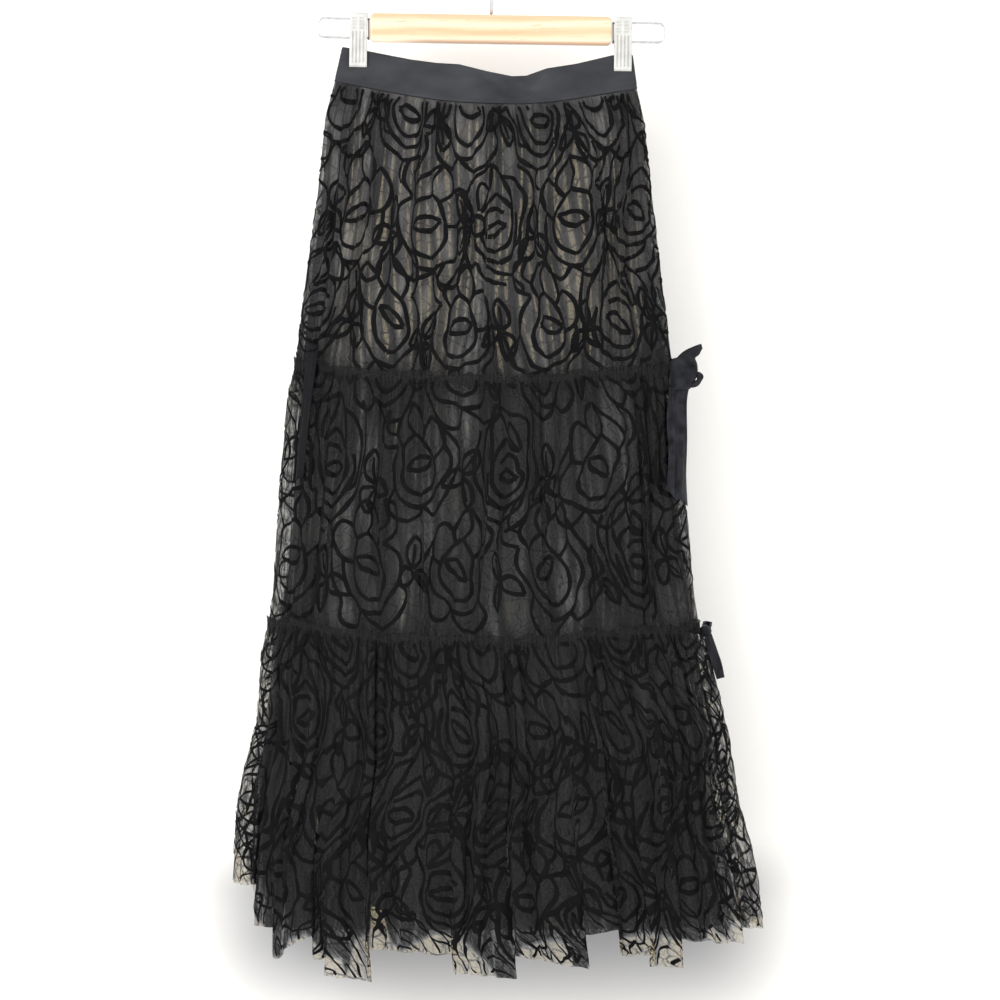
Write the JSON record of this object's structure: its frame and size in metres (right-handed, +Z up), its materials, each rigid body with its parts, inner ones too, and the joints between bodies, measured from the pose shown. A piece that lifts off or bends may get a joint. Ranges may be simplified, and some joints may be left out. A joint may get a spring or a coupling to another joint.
{
  "type": "tiered tulle skirt on a clip hanger",
  "caption": "Ankle-length tiered tulle skirt with flocked flower lines, satin lining and side bows, clipped by its waistband to a wooden hanger.",
  "frame": {"origin": "inner top of the hanger's hook, where a rail carries it", "axes": "+Z up, +X to the right of a viewer who faces the skirt's front, -Y out of the skirt's front"},
  "size_m": [0.531, 0.1608, 1.0482],
  "materials": {
    "tulle": "matte fine net with flocked flower lines",
    "lining_satin": "soft satin",
    "band_satin": "dull satin",
    "ribbon": "satin ribbon",
    "pale_wood": "clear lacquer",
    "hook_wire": "bright wire",
    "clip_white": "satin",
    "spring_steel": "dark spring steel"
  },
  "bodies": {
    "root": {"hanger_hook": "hook_wire", "hanger_bar": "pale_wood", "clip_loop_left": "hook_wire", "clip_loop_right": "hook_wire", "clip_left_front_jaw": "clip_white", "clip_left_back_jaw": "clip_white", "clip_right_front_jaw": "clip_white", "clip_right_back_jaw": "clip_white", "clip_left_spring": "spring_steel", "clip_right_spring": "spring_steel", "waistband_front": "band_satin", "waistband_back": "band_satin", "lining_front": "lining_satin", "lining_back": "lining_satin", "upper_tier_front": "tulle", "upper_tier_back": "tulle", "middle_tier_front": "tulle", "middle_tier_back": "tulle", "lower_tier_front": "tulle", "lower_tier_back": "tulle", "side_bow_knot": "ribbon", "side_bow_front_loop": "ribbon", "side_bow_back_loop": "ribbon", "side_bow_inner_tail": "ribbon", "side_bow_outer_tail": "ribbon", "low_bow_knot": "ribbon", "low_bow_loop": "ribbon", "low_bow_tail": "ribbon", "left_tie_knot": "ribbon", "left_tie_tail": "ribbon"}
  },
  "joints": []
}
